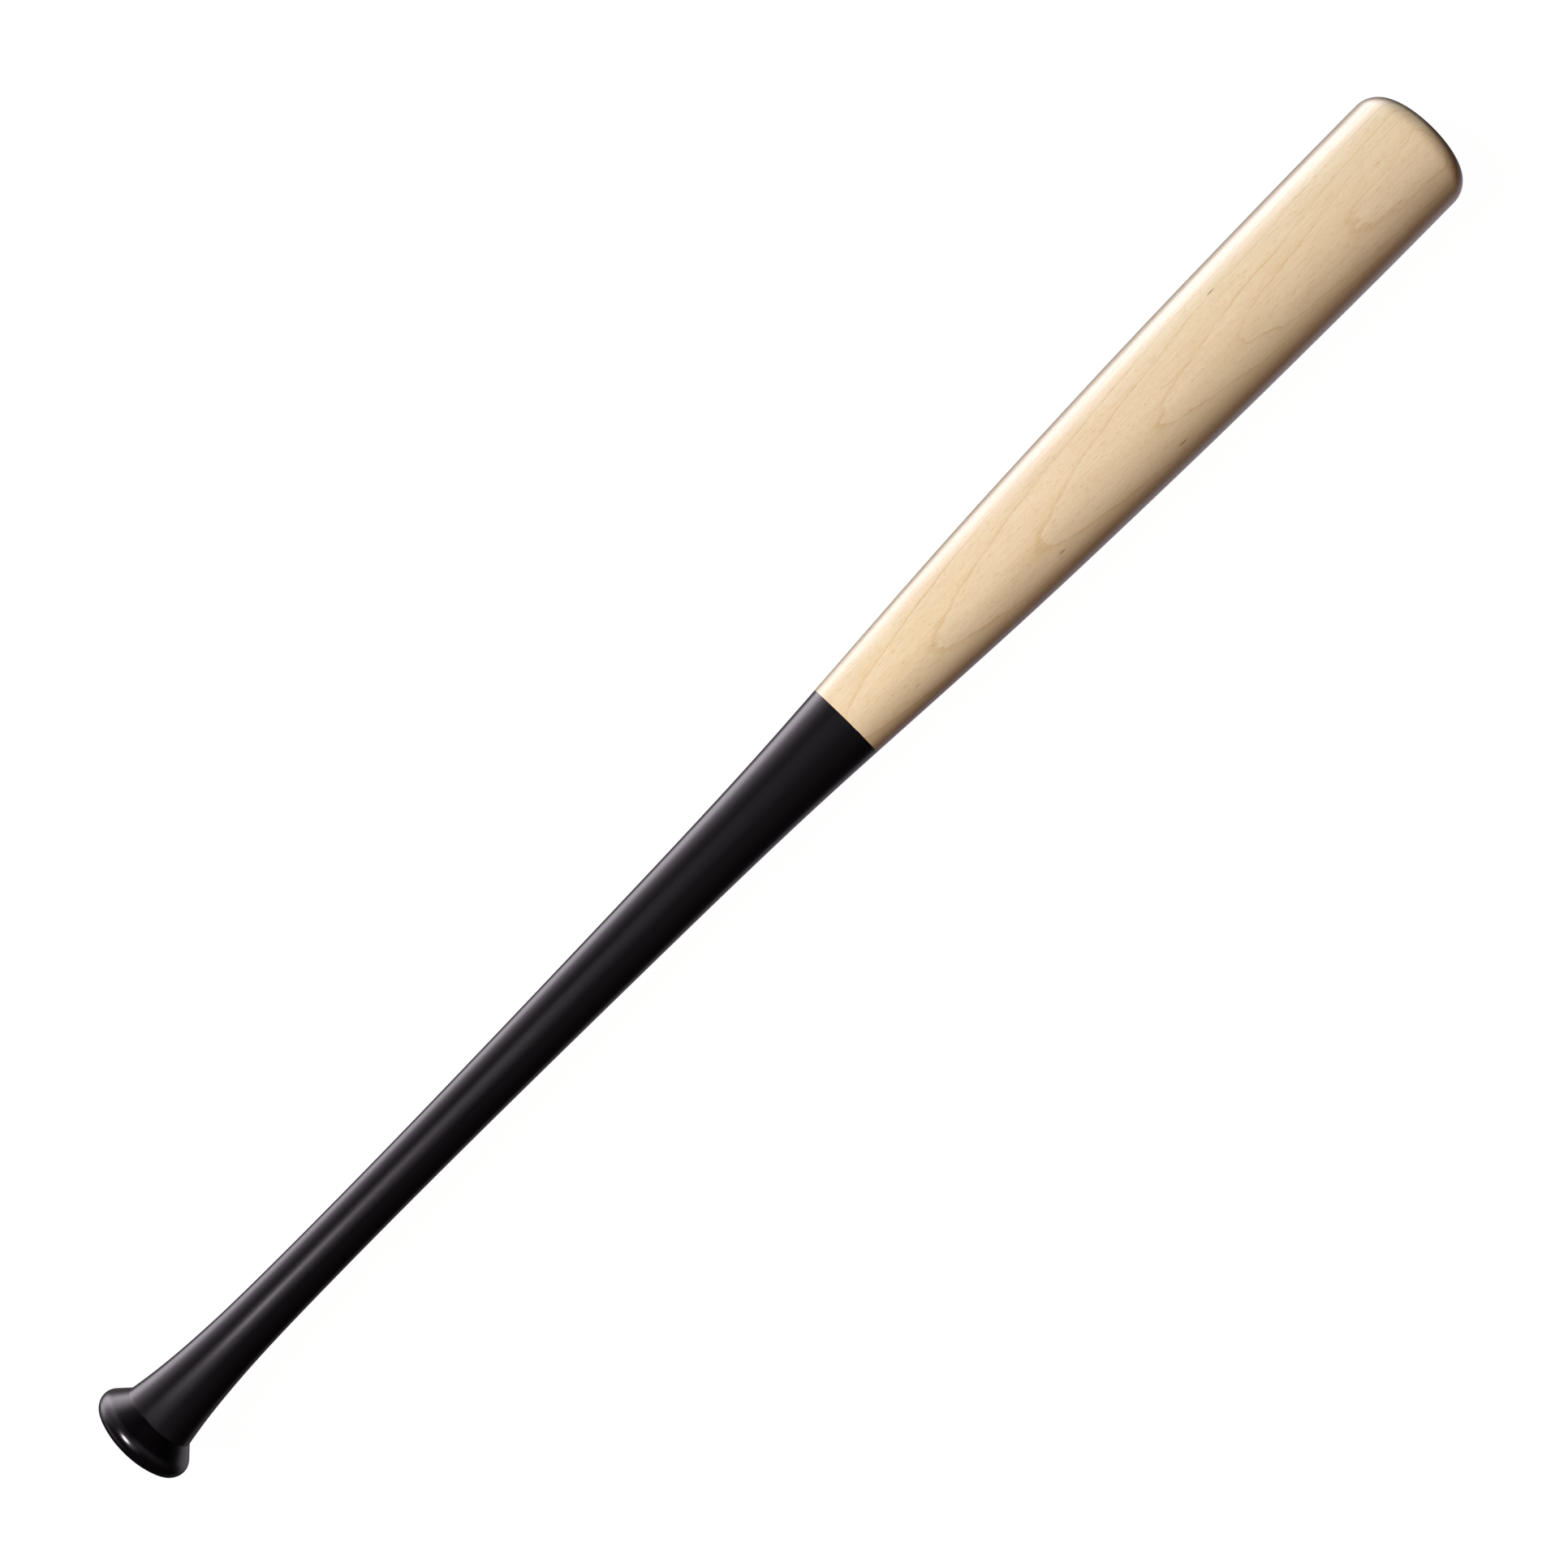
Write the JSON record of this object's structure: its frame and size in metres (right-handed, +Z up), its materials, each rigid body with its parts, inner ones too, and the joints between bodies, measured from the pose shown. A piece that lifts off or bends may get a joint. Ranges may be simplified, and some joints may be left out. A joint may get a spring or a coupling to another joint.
{
  "type": "baseball bat",
  "caption": "Full-size turned maple baseball bat with a flared knob, slim grip, long taper and rounded barrel; black dipped handle, clear lacquered barrel.",
  "frame": {"origin": "centre of the knob's flat end face, on the bat's axis", "axes": "+X along the bat's axis from the knob to the barrel end; +Z up for a bat that lies down, towards the barrel's face grain; +Y completes a right-handed frame"},
  "size_m": [0.8382, 0.0628, 0.0628],
  "materials": {
    "bare_maple": "sanded hard maple under the lacquer",
    "black_lacquer": "dipped black lacquer, semi-gloss",
    "clear_lacquered_maple": "clear gloss lacquer that shows the pale maple beneath it"
  },
  "bodies": {
    "root": {"maple_billet": "bare_maple", "handle_lacquer": "black_lacquer", "barrel_lacquer": "clear_lacquered_maple"}
  },
  "joints": []
}
